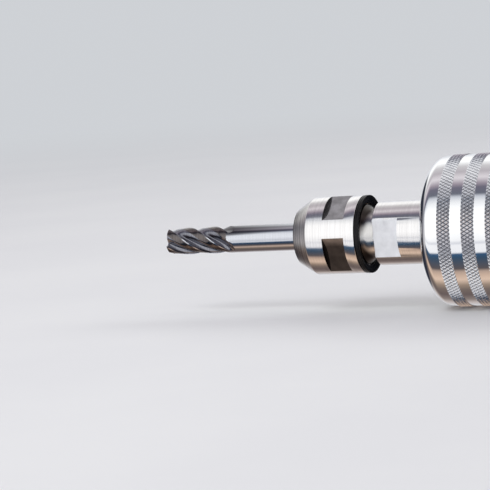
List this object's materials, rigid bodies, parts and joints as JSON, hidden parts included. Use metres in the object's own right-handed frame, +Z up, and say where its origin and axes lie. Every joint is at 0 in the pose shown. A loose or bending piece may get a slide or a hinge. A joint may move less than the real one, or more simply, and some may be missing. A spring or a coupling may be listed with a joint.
{
  "type": "keyless drill chuck",
  "caption": "Keyless drill chuck on a Morse taper arbor, clamping a straight-shank collet holder with its nut and a four-flute end mill.",
  "frame": {"origin": "on the axis, at the gauge plane of the arbor's Morse taper", "axes": "+X along the axis from the tool's tip to the arbor's tang, +Z up, square to the tang's flats"},
  "size_m": [0.3096, 0.0548, 0.0548],
  "materials": {
    "chrome": "mirror chrome with diamond-knurled bands",
    "ground_steel": "fine turned or ground steel",
    "plain_steel": "hardened steel, lightly oiled",
    "black_oxide": "glossy black oxide",
    "carbide": "ground and polished tool steel",
    "brass": "satin brass",
    "rubber": "matt black rubber"
  },
  "bodies": {
    "chuck_core": {"chuck_body": "plain_steel", "arbor": "ground_steel", "dust_ring": "black_oxide", "snap_ring": "plain_steel", "race_front": "plain_steel"},
    "sleeve": {"hood": "chrome", "grip_sleeve": "chrome", "sleeve_seal": "rubber", "jaw_guide": "plain_steel", "race_rear": "plain_steel"},
    "bearing": {"ball_cage": "brass", "ball_01": "ground_steel", "ball_02": "ground_steel", "ball_03": "ground_steel", "ball_04": "ground_steel", "ball_05": "ground_steel", "ball_06": "ground_steel", "ball_07": "ground_steel", "ball_08": "ground_steel", "ball_09": "ground_steel", "ball_10": "ground_steel", "ball_11": "ground_steel", "ball_12": "ground_steel"},
    "screw": {"drive_screw": "plain_steel"},
    "jaw_a": {"jaw_1": "plain_steel"},
    "jaw_b": {"jaw_2": "plain_steel"},
    "jaw_c": {"jaw_3": "plain_steel"},
    "holder": {"holder_body": "ground_steel", "stop_screw": "black_oxide"},
    "collet": {"collet": "ground_steel"},
    "nut": {"collet_nut": "ground_steel", "extractor_ring": "black_oxide", "back_ring": "black_oxide"},
    "mill": {"end_mill": "carbide"}
  },
  "joints": [
    {"name": "sleeve_turn", "type": "hinge", "parent": "chuck_core", "child": "sleeve", "pos_m": [-0.06, 0, 0], "axis": [-1, 0, 0], "range_deg": [0, 785]},
    {"name": "bearing_roll", "type": "hinge", "parent": "chuck_core", "child": "bearing", "pos_m": [-0.04, 0, 0], "axis": [-1, 0, 0], "range_deg": [0, 395]},
    {"name": "screw_travel", "type": "slide", "parent": "sleeve", "child": "screw", "axis": [1, 0, 0], "range_m": [0, 0.0056]},
    {"name": "jaw_a_travel", "type": "slide", "parent": "sleeve", "child": "jaw_a", "axis": [0.9397, 0, 0.342], "range_m": [0, 0.0059]},
    {"name": "jaw_b_travel", "type": "slide", "parent": "sleeve", "child": "jaw_b", "axis": [0.9397, -0.2962, -0.171], "range_m": [0, 0.0059]},
    {"name": "jaw_c_travel", "type": "slide", "parent": "sleeve", "child": "jaw_c", "axis": [0.9397, 0.2962, -0.171], "range_m": [0, 0.0059]},
    {"name": "holder_draw", "type": "slide", "parent": "chuck_core", "child": "holder", "axis": [-1, 0, 0], "range_m": [0, 0.046]},
    {"name": "collet_travel", "type": "slide", "parent": "holder", "child": "collet", "axis": [-1, 0, 0], "range_m": [0, 0.0145]},
    {"name": "nut_turn", "type": "hinge", "parent": "collet", "child": "nut", "pos_m": [-0.15, 0, 0], "axis": [-1, 0, 0], "range_deg": [0, 3420]},
    {"name": "mill_draw", "type": "slide", "parent": "collet", "child": "mill", "axis": [-1, 0, 0], "range_m": [0, 0.02]}
  ],
  "couplings": [
    {"joint": "bearing_roll", "follows": "sleeve_turn", "ratio": 0.5},
    {"joint": "screw_travel", "follows": "sleeve_turn", "m_per_rad": 0.00039789},
    {"joint": "jaw_a_travel", "follows": "sleeve_turn", "m_per_rad": 0.00042342},
    {"joint": "jaw_b_travel", "follows": "sleeve_turn", "m_per_rad": 0.00042342},
    {"joint": "jaw_c_travel", "follows": "sleeve_turn", "m_per_rad": 0.00042342},
    {"joint": "collet_travel", "follows": "nut_turn", "m_per_rad": 0.00023873}
  ]
}
